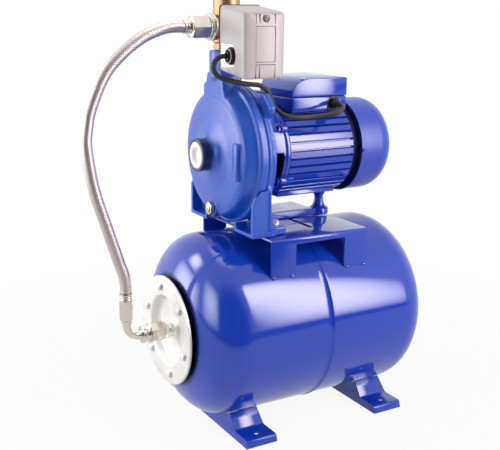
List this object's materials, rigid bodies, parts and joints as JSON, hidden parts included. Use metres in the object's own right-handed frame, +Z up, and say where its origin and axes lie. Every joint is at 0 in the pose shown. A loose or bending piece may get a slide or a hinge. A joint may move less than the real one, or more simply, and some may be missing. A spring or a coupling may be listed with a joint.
{
  "type": "booster pump set",
  "caption": "Surface centrifugal pump and motor on a horizontal membrane pressure tank, joined by a braided hose, with pressure switch and gauge.",
  "frame": {"origin": "on the floor, under the middle of the set's footprint box", "axes": "+Z up; X along the tank and the pump shaft, with the tank flange and the suction port at -X; -Y is the front, where the pressure switch faces"},
  "size_m": [0.5333, 0.273, 0.612],
  "materials": {
    "gloss_blue": "gloss ultramarine paint",
    "cast_blue": "semi-matte ultramarine paint on a sand casting",
    "zinc": "bright zinc plate",
    "nickel": "nickel-plated brass",
    "steel": "ground steel",
    "braid": "woven stainless wire",
    "brass": "machined brass",
    "copper": "laminations with copper windings",
    "black": "black moulded plastic",
    "rubber": "matt black rubber",
    "white": "white moulded plastic",
    "grey_cover": "warm grey moulded plastic",
    "grey_dial": "off-white dial"
  },
  "bodies": {
    "set": {"tank_front_shell": "gloss_blue", "tank_rear_shell": "gloss_blue", "bladder": "rubber", "tank_flange": "zinc", "flange_bolt_1": "zinc", "flange_bolt_2": "zinc", "flange_bolt_3": "zinc", "flange_bolt_4": "zinc", "flange_bolt_5": "zinc", "flange_bolt_6": "zinc", "foot_flange_end": "gloss_blue", "foot_motor_end": "gloss_blue", "pump_stand": "gloss_blue", "air_valve_stem": "brass", "air_valve_cap": "black", "tank_nipple": "nickel", "union_nut": "nickel", "hose_elbow": "nickel", "hose_lower_nut": "nickel", "braided_hose": "braid", "hose_upper_nut": "nickel", "hose_collar": "nickel", "five_way_fitting": "brass", "gauge_case": "black", "gauge_dial": "grey_dial", "switch_diaphragm_cap": "zinc", "switch_base": "steel", "contact_block": "black", "range_spring": "steel", "switch_cover": "grey_cover", "switch_grommet": "black", "switch_lead": "rubber", "pump_casing": "cast_blue", "suction_cap": "white", "drain_plug": "brass", "pump_bracket": "cast_blue", "stand_bolt_near": "zinc", "stand_bolt_far": "zinc", "front_shield": "gloss_blue", "motor_frame": "gloss_blue", "stator": "copper", "bearing_front": "steel", "bearing_rear": "steel", "rear_shield": "black", "fan_cover": "gloss_blue", "terminal_box": "gloss_blue", "terminal_lid": "gloss_blue", "start_capacitor": "black", "box_gland": "black", "motor_support": "gloss_blue", "support_bolt": "zinc"},
    "rotor": {"motor_shaft": "steel", "rotor_core": "steel", "impeller": "brass", "shaft_seal": "rubber", "cooling_fan": "black"},
    "pointer": {"gauge_pointer": "black"},
    "plunger": {"switch_plunger": "brass"},
    "lever": {"switch_lever": "zinc"},
    "valve_pin": {"air_valve_pin": "brass"}
  },
  "joints": [
    {"name": "rotor_spin", "type": "hinge", "parent": "set", "child": "rotor", "pos_m": [0.0285, 0.01, 0.3972], "axis": [1, 0, 0], "continuous": true},
    {"name": "pointer_turn", "type": "hinge", "parent": "set", "child": "pointer", "pos_m": [-0.0215, 0.01, 0.566], "axis": [-1, 0, 0], "range_deg": [0, 270]},
    {"name": "lever_rock", "type": "hinge", "parent": "set", "child": "lever", "pos_m": [-0.0695, -0.0336, 0.536], "axis": [1, 0, 0], "range_deg": [0, 0.76], "stiffness_Nm_per_rad": 0.5},
    {"name": "plunger_slide", "type": "slide", "parent": "set", "child": "plunger", "axis": [0, -1, 0], "range_m": [0, 0.0004]},
    {"name": "valve_pin_press", "type": "slide", "parent": "set", "child": "valve_pin", "axis": [-1, 0, 0], "range_m": [0, 0.0015], "stiffness_N_per_m": 300}
  ],
  "couplings": [
    {"joint": "plunger_slide", "follows": "lever_rock", "m_per_rad": 0.03}
  ]
}
